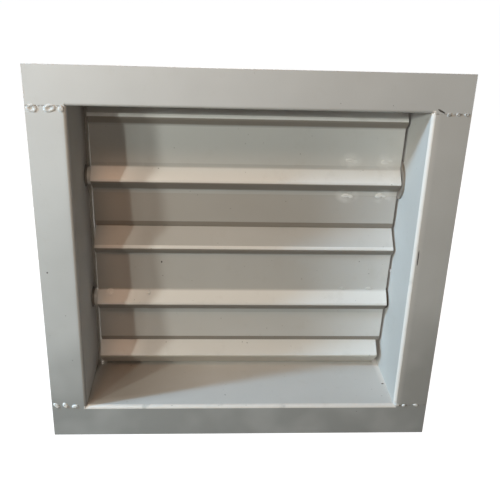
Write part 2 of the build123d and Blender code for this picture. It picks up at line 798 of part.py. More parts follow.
# Second gear: a pinion in mesh with the output gear and a larger wheel, on one arbor
with BuildPart() as second_gear:
    with BuildSketch(gear_plane(output_start, second_place, second_turn + pi + half_pitch)):
        add(gear_section(pinion_teeth, output_module))
    extrude(amount=second_start - output_start)
    with BuildSketch(gear_plane(second_start, second_place, motor_turn)):
        add(gear_section(second_teeth, second_module))
    extrude(amount=second_face)
    with BuildSketch(gear_plane(second_end, second_place)):
        Circle(gear_boss / 2)
    extrude(amount=plate_gap - gear_float)
    with BuildSketch(gear_plane(output_start, second_place)):
        Circle(arbor_diameter / 2 + running_clearance)
    extrude(amount=plate_start - output_start, mode=Mode.SUBTRACT)
save(second_gear, "second_gear")

with BuildPart() as gear_arbor:
    with BuildSketch(gear_plane(arbor_start, second_place)):
        Circle(arbor_diameter / 2)
    extrude(amount=plate_end - arbor_start)
save(gear_arbor, "gear_arbor")

# Gear plate on the posts of the base, which carries the motor and the end of the arbor
with BuildPart() as gear_plate:
    with BuildSketch(gear_plane(plate_start, (0, 0))):
        with Locations(*post_spots, second_place):
            Circle(plate_edge)
        with Locations(motor_place):
            Circle(motor_diameter / 2)
        make_hull()
        with Locations(*post_spots):
            Circle(plate_screw / 2 + sleeve_clearance, mode=Mode.SUBTRACT)
        with Locations(second_place):
            Circle(arbor_diameter / 2 + seat_clearance, mode=Mode.SUBTRACT)
        with Locations(motor_place):
            Circle(motor_nose / 2 + seat_clearance, mode=Mode.SUBTRACT)
    extrude(amount=plate_sheet)
save(gear_plate, "gear_plate")

with BuildPart() as plate_screws:
    for spot in post_spots:
        with BuildSketch(gear_plane(plate_end, spot)):
            Circle(plate_screw_head / 2)
        extrude(amount=plate_screw / 2)
        with BuildSketch(gear_plane(plate_end, spot)):
            Circle(plate_screw / 2)
        extrude(amount=-plate_sheet - plate_screw_grip)
save(plate_screws, "plate_screws")

# Motor: a can on the plate with its nose through it, and the pinion on its shaft
motor_bore = plate_start + motor_shaft_depth
with BuildPart() as motor:
    with BuildSketch(gear_plane(plate_start, motor_place)):
        Circle(motor_nose / 2)
    extrude(amount=plate_sheet)
    with BuildSketch(gear_plane(plate_end, motor_place)):
        Circle(motor_diameter / 2)
    extrude(amount=motor_length)
    fillet(motor.faces().sort_by(Axis.X)[-1].edges(), radius=motor_bearing)
    with BuildSketch(gear_plane(plate_end + motor_length, motor_place)):
        Circle(motor_nose / 2)
    extrude(amount=motor_bearing)
    with BuildSketch(gear_plane(plate_start, motor_place)):
        Circle(motor_shaft / 2 + running_clearance)
    extrude(amount=motor_shaft_depth, mode=Mode.SUBTRACT)
save(motor, "motor")

with BuildPart() as motor_pinion:
    with BuildSketch(gear_plane(second_start, motor_place, motor_turn + pi + half_pitch)):
        add(gear_section(pinion_teeth, second_module))
    extrude(amount=second_face)
    with BuildSketch(gear_plane(second_start, motor_place)):
        Circle(motor_shaft / 2)
    extrude(amount=motor_bore - gear_float - second_start)
save(motor_pinion, "motor_pinion")

# Release button: a plunger kept in the cover by its collar
button_inside = drive_face - drive_wall
with BuildPart() as release_button:
    with BuildSketch(axis_plane(button_inside, 0)):
        with Locations(button_place):
            Circle(button_collar / 2)
    extrude(amount=-button_collar_height)
    with BuildSketch(axis_plane(button_inside, 0)):
        with Locations(button_place):
            Circle(button_diameter / 2)
    extrude(amount=drive_wall + button_travel + button_proud)
    fillet(release_button.faces().sort_by(Axis.X)[-1].edges(), radius=button_diameter / 12)
save(release_button, "release_button")

# Anti-rotation strap: screwed to the casing wall, with a tongue in the lug of the base
strap_line = (
    (wall_out, strap_bottom),
    (wall_out, strap_top),
    (base_back + lug_depth, strap_top),
)
with BuildPart() as anti_rotation_strap:
    with BuildSketch(Plane.XZ.offset(-axis_setback)):
        add(folded_section(strap_line, strap_bend + strap_sheet, strap_sheet, Side.RIGHT))
    extrude(amount=strap_width / 2, both=True)
    with BuildSketch(Plane.XY.offset(strap_top)):
        with Locations((base_back + lug_depth / 2, axis_setback)):
            Rectangle(lug_depth + 2 * strap_sheet, strap_width)
            Rectangle(lug_depth + 2 * strap_sheet, tongue_width, mode=Mode.SUBTRACT)
    extrude(amount=-strap_sheet, mode=Mode.SUBTRACT)
    with BuildSketch(axis_plane(wall_out, 0)):
        with Locations(strap_middle):
            with GridLocations(strap_screw_pitch, 0, 2, 1):
                Circle(strap_screw / 2 + sleeve_clearance)
    extrude(amount=strap_sheet, mode=Mode.SUBTRACT)
save(anti_rotation_strap, "anti_rotation_strap")

with BuildPart() as strap_screws:
    with BuildSketch(axis_plane(wall_out + strap_sheet, 0)):
        with Locations(strap_middle):
            with GridLocations(strap_screw_pitch, 0, 2, 1):
                Circle(strap_screw_head / 2)
    extrude(amount=strap_screw / 2)
    fillet(strap_screws.faces().sort_by(Axis.X)[-2:].edges(), radius=strap_screw / 3)
    with BuildSketch(axis_plane(wall_out + strap_sheet, 0)):
        with Locations(strap_middle):
            with GridLocations(strap_screw_pitch, 0, 2, 1):
                Circle(strap_screw / 2)
    extrude(amount=-strap_sheet - casing_sheet - strap_screw_tail)
save(strap_screws, "strap_screws")
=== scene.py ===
import json
import math

import bmesh
import bpy
from mathutils import Matrix, Vector, noise


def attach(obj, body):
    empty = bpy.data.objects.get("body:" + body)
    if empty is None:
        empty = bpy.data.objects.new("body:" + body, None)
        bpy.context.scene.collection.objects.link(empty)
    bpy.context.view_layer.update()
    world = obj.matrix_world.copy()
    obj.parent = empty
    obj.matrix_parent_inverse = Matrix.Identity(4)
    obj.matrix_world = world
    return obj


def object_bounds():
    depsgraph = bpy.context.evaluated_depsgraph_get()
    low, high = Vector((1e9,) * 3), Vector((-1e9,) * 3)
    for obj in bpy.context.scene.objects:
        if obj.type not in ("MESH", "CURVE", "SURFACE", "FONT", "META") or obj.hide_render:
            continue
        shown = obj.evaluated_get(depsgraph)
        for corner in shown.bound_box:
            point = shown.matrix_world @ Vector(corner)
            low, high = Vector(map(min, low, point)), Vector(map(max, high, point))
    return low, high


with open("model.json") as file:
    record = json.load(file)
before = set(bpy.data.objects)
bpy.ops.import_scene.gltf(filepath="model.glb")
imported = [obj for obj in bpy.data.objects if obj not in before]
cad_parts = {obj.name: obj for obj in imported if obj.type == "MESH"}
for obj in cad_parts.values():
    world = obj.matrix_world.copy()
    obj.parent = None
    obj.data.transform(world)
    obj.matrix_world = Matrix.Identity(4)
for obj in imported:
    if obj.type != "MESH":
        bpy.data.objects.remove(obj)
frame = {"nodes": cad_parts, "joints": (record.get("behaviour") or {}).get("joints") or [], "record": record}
cadLow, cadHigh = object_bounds()
print("frame loaded:", len(frame["nodes"]), "nodes")

scene = bpy.context.scene
scene.view_settings.view_transform = "Standard"


# camera, where the picture was taken from
cameraSet = {
    "place": (-0.0404, -0.6388, 0.3024),
    "aim": (0.0025, 0.0013, 0.0223),
    "roll": 2.04,        # degrees
    "lens": 52.0,        # mm
    "sensor": 36.0,        # mm
    "clip": (0.01, 50.0),
}


def placeCamera(look):
    data = bpy.data.cameras.new("camera")
    data.lens = look["lens"]
    data.sensor_width = look["sensor"]
    data.clip_start, data.clip_end = look["clip"]
    camera = bpy.data.objects.new("camera", data)
    scene.collection.objects.link(camera)
    place = Vector(look["place"])
    turn = (Vector(look["aim"]) - place).to_track_quat("-Z", "Y").to_matrix()
    turn = turn @ Matrix.Rotation(math.radians(look["roll"]), 3, "Z")
    camera.matrix_world = Matrix.Translation(place) @ turn.to_4x4()
    scene.camera = camera


placeCamera(cameraSet)
print("camera placed")


# shader sums: a socket that takes part in plain arithmetic
class Term:
    def __init__(self, finish, socket):
        self.finish = finish
        self.socket = socket

    def join(self, operation, first, second):
        return self.finish.node("ShaderNodeMath", {"operation": operation}, {0: first, 1: second})

    def __add__(self, other):
        return self.join("ADD", self, other)

    def __sub__(self, other):
        return self.join("SUBTRACT", self, other)

    def __rsub__(self, other):
        return self.join("SUBTRACT", other, self)

    def __mul__(self, other):
        return self.join("MULTIPLY", self, other)

    def __lt__(self, other):
        return self.join("LESS_THAN", self, other)

    def __gt__(self, other):
        return self.join("GREATER_THAN", self, other)

    __radd__ = __add__
    __rmul__ = __mul__


# one material: constants go on the shader, what varies goes through node()
class Finish:
    def __init__(self, name, constants):
        self.material = bpy.data.materials.new(name)
        self.material.use_nodes = True
        self.tree = self.material.node_tree
        self.shader = self.tree.nodes["Principled BSDF"]
        for socket, value in constants.items():
            self.shader.inputs[socket].default_value = value
        self.place = self.node("ShaderNodeTexCoord", {}, {}, "Object")
        self.across, self.back, self.height = [
            self.node("ShaderNodeSeparateXYZ", {}, {0: self.place}, axis) for axis in "XYZ"
        ]

    def node(self, kind, settings, inputs, output=0):
        made = self.tree.nodes.new(kind)
        for key, value in settings.items():
            if key == "stops":
                for stop, (at, shade) in zip(made.color_ramp.elements, value):
                    stop.position = at
                    stop.color = (shade, shade, shade, 1)
            else:
                setattr(made, key, value)
        for socket, value in inputs.items():
            if isinstance(value, Term):
                self.tree.links.new(value.socket, made.inputs[socket])
            else:
                made.inputs[socket].default_value = value
        return Term(self, made.outputs[output])

    def stretched(self, scale):
        return self.node("ShaderNodeMapping", {}, {"Vector": self.place, "Scale": scale})

    def cloud(self, scale, detail=2.0, rough=0.5, vector=None):
        sockets = {"Vector": vector or self.place, "Scale": scale, "Detail": detail, "Roughness": rough}
        return self.node("ShaderNodeTexNoise", {}, sockets, "Fac")

    def band(self, term, low, high):
        return self.node("ShaderNodeValToRGB", {"stops": ((low, 0), (high, 1))}, {"Fac": term})

    def fade(self, term, scale, start, low, high):        # a ramp along a length
        return self.band(term * scale + start, low, high)

    def between(self, term, low, high):
        return (term > low) * (term < high)

    def blend(self, amount, first, second):
        sockets = {0: amount, 6: first, 7: second}
        return self.node("ShaderNodeMix", {"data_type": "RGBA"}, sockets, 2)

    def size(self, term):
        return self.node("ShaderNodeMath", {"operation": "ABSOLUTE"}, {0: term})

    def most(self, first, second):
        return self.node("ShaderNodeMath", {"operation": "MAXIMUM"}, {0: first, 1: second})

    def least(self, first, second):
        return self.node("ShaderNodeMath", {"operation": "MINIMUM"}, {0: first, 1: second})

    def bump(self, height, strength, distance, under=None):
        sockets = {"Height": height, "Strength": strength, "Distance": distance}
        if under:
            sockets["Normal"] = under
        return self.node("ShaderNodeBump", {}, sockets)

    def feed(self, **terms):
        names = {"color": "Base Color", "roughness": "Roughness", "normal": "Normal"}
        for key, term in terms.items():
            self.tree.links.new(term.socket, self.shader.inputs[names[key]])
        return self.material


def tone(red, green, blue):
    return (red, green, blue, 1.0)


# silver-grey paint over folded sheet: soft flow, faint wipe marks, dust and specks
coatSet = {
    "specular": 0.22,
    "flow": (6.5, 3.0),        # noise: scale, detail and roughness
    "wipe": (5.0, 4.0, 0.6),
    "fleck": (2600.0, 1.0),
    "peel": (420.0, 2.0),
    "dust": (38.0, 5.0, 0.7),
    "speck": (310.0, 1.0),
    "waveDetail": 2.0,
    "wornStops": (0.35, 0.68),
    "dustStops": (0.56, 0.78),
    "speckStops": (0.785, 0.80),
    "fleckTone": tone(0.80, 0.80, 0.80),
    "speckTone": tone(0.10, 0.09, 0.08),
    "amount": {"dust": 0.16, "fleck": 0.06, "speck": 0.55},
    "rough": {"wipe": 0.22, "dust": 0.10, "fleck": 0.06, "airway": 0.30},
    "airway": (100.0, 0.0, 0.35, 0.95),        # dusty, so duller, behind the front
    "bumps": {"wave": (0.30, 0.0012), "peel": (0.10, 0.00012), "fleck": (0.05, 0.00004)},
}
paintSet = {
    "casing": {
        "clean": tone(0.618, 0.622, 0.616),
        "worn": tone(0.566, 0.566, 0.556),
        # the dust tone also carries the painted shade on the walls and the right flange
        "dust": tone(0.430, 0.400, 0.360),
        "floorShadow": tone(0.270, 0.240, 0.205),        # painted shadow on the casing floor
        "soilAndShade": tone(0.350, 0.352, 0.345),        # painted shade and soil, darker towards the bottom and the right of the flanges
        "paintedHighlight": tone(0.920, 0.870, 0.825),        # painted highlight on the lit folds; also makes the casing floor paler
        "upperLeftLight": tone(0.900, 0.905, 0.900),        # painted light on the upper left of the flange
        # dark seams, and painted contact shade with grime about the bushes
        "grimeAndShade": tone(0.090, 0.075, 0.060),
        "wipe": (2.2, 9.0, 3.0),
        "waves": 16.0,
        "gloss": 0.46,
    },
    "blades": {
        "clean": tone(0.545, 0.548, 0.540),
        "worn": tone(0.505, 0.502, 0.490),
        "dust": tone(0.400, 0.370, 0.330),
        # painted light on the ribs' upper flanks, the ridges, the right end and the slope's left end; also
        # the paler panels and the weld patches
        "rib": tone(0.850, 0.850, 0.840),
        "endRib": tone(0.960, 0.945, 0.930),        # painted light on its left end
        "under": tone(0.290, 0.262, 0.230),        # painted shade on undersides and lips; also the darker panel and the panels' left ends
        "wipe": (1.4, 8.0, 8.0),
        "waves": 7.0,
        "gloss": 0.46,
    },
    "stops": {
        # paler than the blade paint: painted light on the stops' up-facing slopes
        "clean": tone(0.830, 0.832, 0.822),
        "worn": tone(0.780, 0.777, 0.765),
        "leg": tone(0.600, 0.560, 0.505),        # upright leg of the bottom stop, painted shade
        "legTop": -0.1388,
        "end": tone(0.965, 0.950, 0.935),        # painted light on its left end
        "dust": tone(0.430, 0.400, 0.360),
        "wipe": (1.4, 8.0, 8.0),
        "waves": 7.0,
        "gloss": 0.46,
    },
    # paler paint on the welds, as painted highlight
    "welds": {
        "clean": tone(0.860, 0.862, 0.852),
        "worn": tone(0.810, 0.807, 0.795),
        "dust": tone(0.430, 0.400, 0.360),
        "wipe": (6.0, 6.0, 6.0),
        "waves": 60.0,
        "gloss": 0.34,
    },
}
# marks on the blades; a ramp is its scale, its start, and where it begins and is full
bladeSet = {
    "axis": (0.080, 0.070),        # setback and height
    "wrap": (-0.0555, 0.0845),        # one blade's reach below and above its axis
    "lean": math.radians(3.7),
    "proud": (100.0, 0.0, 0.54, 0.70),        # ahead of the axis, in cm
    "ribHalf": 0.0165,
    "flank": (100.0, 0.5, 0.40, 0.46),        # 0 on the rib's lower flank, 1 above
    "edgeRib": (0.0555, 0.0658),        # underside of the edge rib above the axis, which gets painted shade
    "ridge": (0.0658, 0.0690),
    "lip": -0.0488,
    "paintedRightLight": (5.0, 0.0, 0.35, 0.80),        # painted light towards the right end
    # the blades' left end, in the side wall's shadow, which gets painted shade and painted light
    "leftEnd": (-8.0, 0.0, 0.84, 1.0),
    "palerPanels": ((0.0865, 0.1255), (-0.1188, -0.0865)),        # paler panels, by height
    "darkerPanel": (0.0212, 0.0535),        # a darker one
    "slope": (-0.0042, 0.0212),        # the sealing slope that shows between the blades
    "welds": (0.108, 0.146),
    "weldRise": (-0.0165, 0.0225),
    "weldReach": 0.014,
    "weldFlat": 2.0,        # the bright patch is wider than high
    "weldGlow": (0.05, 0.85),
    "weldCloud": (90.0, 3.0),
    "weldBreak": (0.35, 0.62),
    "amount": {
        "paintedRightLight": 0.45,
        "palerPanels": 0.28,
        "darkerPanel": 0.30,
        "endPanel": 0.36,
        "endSlope": 0.26,
        "weld": 0.6,
    },
}


def bladeMarks(finish, look, color):        # painted light on the ribs, painted highlight on the ridges, painted shade on the undersides, painted light and shade at the blade ends, paler and darker panels, bright weld patches
    amount = look["amount"]
    rise = finish.height - look["axis"][1]
    low, high = look["wrap"]
    rise = finish.node("ShaderNodeMath", {"operation": "WRAP"}, {0: rise, 1: high, 2: low})
    ahead = (finish.back - look["axis"][0]) * -math.cos(look["lean"]) - rise * math.sin(look["lean"])
    proud = finish.fade(ahead, *look["proud"])
    rib = proud * (finish.size(rise) < look["ribHalf"])
    upper = finish.fade(rise, *look["flank"])
    edge = proud * finish.between(rise, *look["edgeRib"])
    ridge = proud * finish.between(rise, *look["ridge"])
    under = finish.most(finish.most(rib * (1.0 - upper), edge), rise < look["lip"])
    rightEnd = finish.fade(finish.across, *look["paintedRightLight"])
    leftEnd = finish.fade(finish.across, *look["leftEnd"])
    slope = finish.between(finish.height, *look["slope"])
    # painted light towards the right end of the blades
    color = finish.blend(rightEnd * amount["paintedRightLight"], color, look["rib"])
    for panel in look["palerPanels"]:
        color = finish.blend(finish.between(finish.height, *panel) * amount["palerPanels"], color, look["rib"])
    darkerPanel = finish.between(finish.height, *look["darkerPanel"])
    color = finish.blend(darkerPanel * amount["darkerPanel"], color, look["under"])
    # painted shade on the panels' left ends, painted light on the slope's and the ribs' left ends
    color = finish.blend(leftEnd * (1.0 - slope) * amount["endPanel"], color, look["under"])
    color = finish.blend(leftEnd * slope * amount["endSlope"], color, look["rib"])
    # painted light on the ribs' upper flanks, painted highlight on the ridges
    color = finish.blend(finish.most(rib * upper, ridge), color, look["rib"])
    color = finish.blend(rib * upper * leftEnd, color, look["endRib"])
    # painted shade on the ribs' lower flanks, the edge rib's underside and the lower lip
    color = finish.blend(under, color, look["under"])
    aside = finish.least(*[finish.size(finish.across - weld) for weld in look["welds"]])
    up = finish.least(*[finish.size(rise - weld) for weld in look["weldRise"]])
    reach = aside * aside + up * up * look["weldFlat"]
    glow = finish.band(1.0 - reach * (1.0 / look["weldReach"] ** 2), *look["weldGlow"])
    glow = glow * finish.band(finish.cloud(*look["weldCloud"]), *look["weldBreak"]) * (finish.height > 0.0)
    return finish.blend(glow * amount["weld"], color, look["rib"])


# marks on the casing, by their place about the opening
openingSet = {
    "half": (0.164, 0.159),
    "fold": 0.0029,
    "front": 0.0042,        # setback of all that counts as the flange
    "lit": (0.1635, -0.1585),        # the right and the bottom fold lie beyond these; only they get the painted highlight
    "highlightCloud": (55.0, 3.0),
    "highlightBreak": (0.15, 0.40),
    "glow": (-110.0, 1.0, 0.05, 0.80),        # painted highlight, fading away from the right fold
    "shade": (-160.0, 1.0, 0.1, 0.9),        # away from the left fold
    "soilAndShadeWay": (-5.0, 0.5, 0.7, 0.1),        # up, right, to both sides, and its start
    "soilAndShadeFlow": 0.45,
    "soilAndShadeStops": (0.48, 0.90),
    "seam": 0.0008,
    "seamCloud": (240.0, 3.0),
    "seamBreak": (0.47, 0.56),
    "ground": -0.1575,        # the casing floor is below this
    "floorShadowSlope": 0.216,        # the painted shadow narrows from the left wall to the right one
    "floorShadowBack": (18.0, 0.5, 0.36, 0.72),
    "floorShadowLeft": (-4.0, 0.5, 0.62, 1.0),
    "wallSkin": 0.0004,
    "wallRise": (3.0, 0.5, 0.0, 0.85),
    "patchCloud": (17.0, 2.0, 0.45),
    "patchBreak": (0.40, 0.64),
    "bush": (0.080, 0.070, 0.0116),        # setback, height and reach of the painted shade and grime about the bushes
    "upperLeftLight": (1.6, 0.0, 0.30, 0.60),
    "amount": {
        "upperLeftLight": 0.28,
        "soilAndShade": 0.70,
        "soilAndShadePatch": 0.50,
        "shade": 0.40,
        "patch": 0.10,
        "groundLightToClean": 0.24,
        "groundLightToPale": 0.22,
        "floorShadow": 0.68,
        "leftWallShade": 0.70,
        "wall": 0.25,
        "rightFlangeShade": 0.26,
        "glow": 0.35,
        "paintedHighlight": 0.90,
        "seam": 0.55,
        "bush": 0.75,
    },
}


def casingMarks(finish, look, opening, color, flow):        # painted highlights on the lit folds, painted light on the upper left and on the casing floor, painted shade with soil lower down, dark seams, a painted shadow on the casing floor, painted shade on the walls, the right flange and about the bushes, dust and grime
    amount = opening["amount"]
    front = finish.back < opening["front"]
    inside = 1.0 - front
    left = finish.across < 0.0
    right = finish.across > 0.0
    side = finish.size(finish.across) - opening["half"][0]
    end = finish.size(finish.height) - opening["half"][1]
    beside = front * (end < 0.0)        # the flange left and right of the opening
    lit = finish.most(finish.across > opening["lit"][0], finish.height < opening["lit"][1])
    # painted highlight along the right and bottom folds, broken by noise
    paintedHighlight = (finish.most(side, end) < opening["fold"]) * front * lit
    paintedHighlight = paintedHighlight * finish.band(finish.cloud(*opening["highlightCloud"]), *opening["highlightBreak"])
    glow = finish.fade(side, *opening["glow"]) * beside * right
    shade = finish.fade(side, *opening["shade"]) * beside * left
    # painted shade with soil: darker towards the bottom, the right and the outer sides, broken by the
    # paint's flow
    up, across, outward, start = opening["soilAndShadeWay"]
    lower = finish.height * up + finish.across * across + finish.size(finish.across) * outward + start
    soilAndShade = finish.band(lower + (flow - 0.5) * opening["soilAndShadeFlow"], *opening["soilAndShadeStops"]) * front
    seam = (finish.size(end) < opening["seam"]) * (side > opening["fold"]) * front
    seam = seam * finish.most(finish.height > 0.0, right)
    seam = seam * finish.band(finish.cloud(*opening["seamCloud"]), *opening["seamBreak"])
    ground = (finish.height < opening["ground"]) * inside
    # painted shadow on the casing floor, behind a diagonal from the left front corner, strongest at the left
    floorShadow = finish.back - (finish.across + opening["half"][0]) * opening["floorShadowSlope"]
    floorShadow = finish.fade(floorShadow, *opening["floorShadowBack"]) * finish.fade(finish.across, *opening["floorShadowLeft"])
    walls = (finish.size(side) < opening["wallSkin"]) * inside
    # painted shade on the left wall, darker towards the top, over an even dust on both walls
    wallDustAndShade = left * finish.fade(finish.height, *opening["wallRise"])
    wallDustAndShade = walls * (wallDustAndShade * amount["leftWallShade"] + amount["wall"])
    patch = finish.band(finish.cloud(*opening["patchCloud"]), *opening["patchBreak"]) * front
    # painted contact shade and grime on the walls about the bushes
    setback, height, reach = opening["bush"]
    about = finish.back - setback
    over = finish.size(finish.height) - height
    bushShadeAndGrime = (about * about + over * over < reach ** 2) * inside
    # painted light on the front flange, paler towards the upper left
    upperLeftLight = finish.fade(finish.height - finish.across, *opening["upperLeftLight"]) * front
    color = finish.blend(upperLeftLight * amount["upperLeftLight"], color, look["upperLeftLight"])
    # painted shade with soil on the lower flanges, with patches
    color = finish.blend(soilAndShade * (patch * amount["soilAndShadePatch"] + amount["soilAndShade"]), color, look["soilAndShade"])
    color = finish.blend(shade * amount["shade"], color, look["soilAndShade"])
    color = finish.blend(patch * amount["patch"], color, look["soilAndShade"])
    # painted light: the casing floor paler all over than the rest of the casing
    color = finish.blend(ground * amount["groundLightToClean"], color, look["clean"])
    color = finish.blend(ground * amount["groundLightToPale"], color, look["paintedHighlight"])
    # painted shadow on the casing floor
    color = finish.blend(ground * floorShadow * amount["floorShadow"], color, look["floorShadow"])
    # painted shade and dust on the inner walls
    color = finish.blend(wallDustAndShade, color, look["dust"])
    # painted shade on the right flange beside the opening, in the dust tone
    color = finish.blend(beside * (side > 0.0) * right * amount["rightFlangeShade"], color, look["dust"])
    # painted highlight beside the right fold
    color = finish.blend(glow * amount["glow"], color, look["paintedHighlight"])
    # painted highlight on the lit folds
    color = finish.blend(paintedHighlight * amount["paintedHighlight"], color, look["paintedHighlight"])
    # dark seams, and painted contact shade with grime about the bushes
    return finish.blend(finish.most(seam * amount["seam"], bushShadeAndGrime * amount["bush"]), color, look["grimeAndShade"])


def sprayedPaint(name, look, coat):
    amount, rough, bumps = coat["amount"], coat["rough"], coat["bumps"]
    finish = Finish(name, {"Metallic": 0.0, "Specular IOR Level": coat["specular"]})
    flow = finish.cloud(*coat["flow"])
    wipe = finish.cloud(*coat["wipe"], finish.stretched(look["wipe"]))
    fleck = finish.cloud(*coat["fleck"])
    peel = finish.cloud(*coat["peel"])
    dust = finish.band(finish.cloud(*coat["dust"]), *coat["dustStops"])
    speck = finish.band(finish.cloud(*coat["speck"]), *coat["speckStops"])
    color = finish.blend(finish.band(flow, *coat["wornStops"]), look["clean"], look["worn"])
    if "rib" in look:
        color = bladeMarks(finish, {**bladeSet, **look}, color)
    if "soilAndShade" in look:
        color = casingMarks(finish, look, openingSet, color, flow)
    if "leg" in look:
        # painted light on the left end of the bottom stop
        leftEnd = finish.fade(finish.across, *bladeSet["leftEnd"])
        color = finish.blend(leftEnd * (finish.height < 0.0), color, look["end"])
        # painted shade on the bottom stop's leg
        color = finish.blend(finish.height < look["legTop"], color, look["leg"])
    color = finish.blend(dust * amount["dust"], color, look["dust"])
    color = finish.blend(fleck * amount["fleck"], color, coat["fleckTone"])
    color = finish.blend(speck * amount["speck"], color, coat["speckTone"])
    airway = finish.fade(finish.back, *coat["airway"])
    roughness = look["gloss"] + (wipe - 0.5) * rough["wipe"] + dust * rough["dust"]
    roughness = roughness + (fleck - 0.5) * rough["fleck"] + airway * rough["airway"]
    wave = finish.cloud(look["waves"], coat["waveDetail"])
    normal = finish.bump(wave, *bumps["wave"])
    normal = finish.bump(peel, *bumps["peel"], normal)
    normal = finish.bump(fleck, *bumps["fleck"], normal)
    return finish.feed(color=color, roughness=roughness, normal=normal)


# bright zinc on shafts, linkage and screws: drawn lines and a cloudy bloom
platingSet = {
    "metallic": 0.9,
    "drawn": (1.0, 2.0, 0.5),
    "bloom": (85.0, 4.0, 0.6),
    "bloomStops": (0.38, 0.70),
    "stain": (52.0, 5.0, 0.7),
    "stainStops": (0.64, 0.80),
    "stainAmount": 0.5,
    "rough": {"bloom": 0.18, "drawn": 0.16, "stain": 0.2},
    "bump": (0.12, 0.00005),
}
zincSet = {
    "parts": {
        "clean": tone(0.62, 0.63, 0.64),
        "bloom": tone(0.48, 0.49, 0.50),
        "stain": tone(0.30, 0.24, 0.18),
        "drawn": (60.0, 900.0, 900.0),
        "gloss": 0.28,
    },
    "seal": {
        "clean": tone(0.84, 0.82, 0.78),
        "bloom": tone(0.74, 0.71, 0.66),
        "stain": tone(0.42, 0.35, 0.28),
        "drawn": (900.0, 900.0, 60.0),
        "gloss": 0.50,
    },
}


def platedSteel(name, look, plating):
    rough = plating["rough"]
    finish = Finish(name, {"Metallic": plating["metallic"]})
    drawn = finish.cloud(*plating["drawn"], finish.stretched(look["drawn"]))
    bloom = finish.band(finish.cloud(*plating["bloom"]), *plating["bloomStops"])
    stain = finish.band(finish.cloud(*plating["stain"]), *plating["stainStops"])
    color = finish.blend(bloom, look["clean"], look["bloom"])
    color = finish.blend(stain * plating["stainAmount"], color, look["stain"])
    roughness = look["gloss"] + bloom * rough["bloom"] + (drawn - 0.5) * rough["drawn"]
    roughness = roughness + stain * rough["stain"]
    normal = finish.bump(drawn, *plating["bump"])
    return finish.feed(color=color, roughness=roughness, normal=normal)


# moulded plastic: fine spark texture, a little dust in the low spots
mouldSet = {
    "ior": 1.48,
    "grainDetail": 2.0,
    "flow": (24.0, 3.0),
    "dust": (60.0, 5.0, 0.7),
    "dustStops": (0.52, 0.80),
    "dustAmount": 0.35,
    "grimeAndShadeAmount": 0.85,
    "rough": {"grain": 0.16, "flow": 0.12, "dust": 0.12},
    "bump": (0.25, 0.00010),
}
plasticSet = {
    "bush": {
        "clean": tone(0.78, 0.76, 0.72),
        "dust": tone(0.45, 0.37, 0.29),
        "grimeAndShade": tone(0.15, 0.115, 0.085),
        "foot": (0.1616, 0.1645),        # half width at the casing wall, where painted contact shade and grime darken the bush
        "grain": 900.0,
        "gloss": 0.50,
    },
    "shell": {
        "clean": tone(0.105, 0.112, 0.120),
        "dust": tone(0.20, 0.19, 0.18),
        "grain": 1300.0,
        "gloss": 0.55,
    },
    "chip": {
        "clean": tone(0.060, 0.052, 0.045),
        "dust": tone(0.16, 0.14, 0.12),
        "grain": 900.0,
        "gloss": 0.60,
    },
    "mark": {
        "clean": tone(0.62, 0.20, 0.035),
        "dust": tone(0.42, 0.22, 0.12),
        "grain": 1100.0,
        "gloss": 0.45,
    },
}


def mouldedPlastic(name, look, mould):
    rough = mould["rough"]
    finish = Finish(name, {"Metallic": 0.0, "IOR": mould["ior"]})
    grain = finish.cloud(look["grain"], mould["grainDetail"])
    flow = finish.cloud(*mould["flow"])
    dust = finish.band(finish.cloud(*mould["dust"]), *mould["dustStops"])
    color = finish.blend(dust * mould["dustAmount"], look["clean"], look["dust"])
    if "foot" in look:
        # painted contact shade and grime where the bush meets the casing wall
        foot = finish.between(finish.size(finish.across), *look["foot"])
        color = finish.blend(foot * mould["grimeAndShadeAmount"], color, look["grimeAndShade"])
    roughness = look["gloss"] + (grain - 0.5) * rough["grain"] + (flow - 0.5) * rough["flow"]
    roughness = roughness + dust * rough["dust"]
    normal = finish.bump(grain, *mould["bump"])
    return finish.feed(color=color, roughness=roughness, normal=normal)


finishes = {
    "casing_paint": sprayedPaint("casingPaint", paintSet["casing"], coatSet),
    "blade_paint": sprayedPaint("bladePaint", paintSet["blades"], coatSet),
    "stop_paint": sprayedPaint("stopPaint", paintSet["stops"], coatSet),
    "weld_paint": sprayedPaint("weldPaint", paintSet["welds"], coatSet),
    "zinc_steel": platedSteel("zincSteel", zincSet["parts"], platingSet),
    "seal_steel": platedSteel("sealSteel", zincSet["seal"], platingSet),
    "bush_plastic": mouldedPlastic("bushPlastic", plasticSet["bush"], mouldSet),
    "drive_shell": mouldedPlastic("driveShell", plasticSet["shell"], mouldSet),
    "drive_mark": mouldedPlastic("driveMark", plasticSet["mark"], mouldSet),
    "chip": mouldedPlastic("paintChip", plasticSet["chip"], mouldSet),
}
print("finishes made:", len(finishes))


def dress(obj, slot):
    obj.data.materials.clear()
    obj.data.materials.append(finishes[slot])


slotOf = {}
for part in frame["record"]["subparts"]:
    slotOf[part["node"]] = part["material_slot"]
ownFinish = {"top_stop": "stop_paint", "bottom_stop": "stop_paint", "left_side_seal": "seal_steel"}
for node, obj in frame["nodes"].items():
    dress(obj, ownFinish.get(node, slotOf[node]))
print("nodes dressed")


def addPiece(name, mesh, body, slot, finish=None):
    data = bpy.data.meshes.new(name)
    mesh.to_mesh(data)
    mesh.free()
    for face in data.polygons:
        face.use_smooth = True
    piece = bpy.data.objects.new(name, data)
    scene.collection.objects.link(piece)
    dress(piece, finish or slot)
    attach(piece, body)


# a painted-over weld: a lumpy low dome with a sunk middle, on a plane given by its own matrix
blobSet = {
    "segments": (28, 16),
    "lump": 0.16,
    "lumpScale": 1.7,
    "craterReach": 0.62,
    "foot": -0.3,        # flattened below this
}


